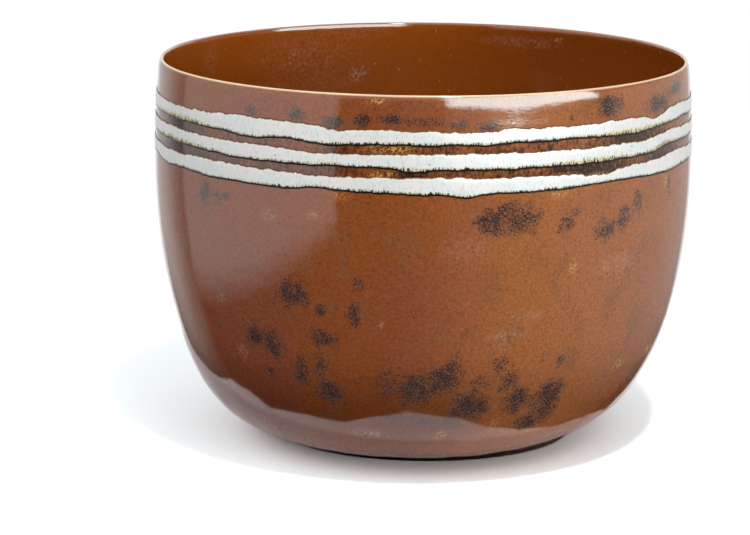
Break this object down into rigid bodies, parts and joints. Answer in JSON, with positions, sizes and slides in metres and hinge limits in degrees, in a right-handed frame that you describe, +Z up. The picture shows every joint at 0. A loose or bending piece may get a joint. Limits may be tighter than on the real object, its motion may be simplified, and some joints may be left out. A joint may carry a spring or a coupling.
{
  "type": "stoneware bowl",
  "caption": "Deep round stoneware bowl with a low turned foot, glossy iron-brown glaze inside and out, and raised white glaze bands round the shoulder.",
  "frame": {"origin": "on the table, at the middle of the bowl's bounding box", "axes": "+Z up through the middle of the mouth; -Y towards the picture's viewer; +X to the viewer's right"},
  "size_m": [0.2706, 0.2706, 0.193],
  "materials": {
    "stoneware": "matte",
    "iron_glaze": "gloss",
    "white_glaze": "gloss"
  },
  "bodies": {
    "root": {"stoneware_body": "stoneware", "iron_glaze_coat": "iron_glaze", "white_band_upper": "white_glaze", "white_band_middle": "white_glaze", "white_band_lower": "white_glaze"}
  },
  "joints": []
}
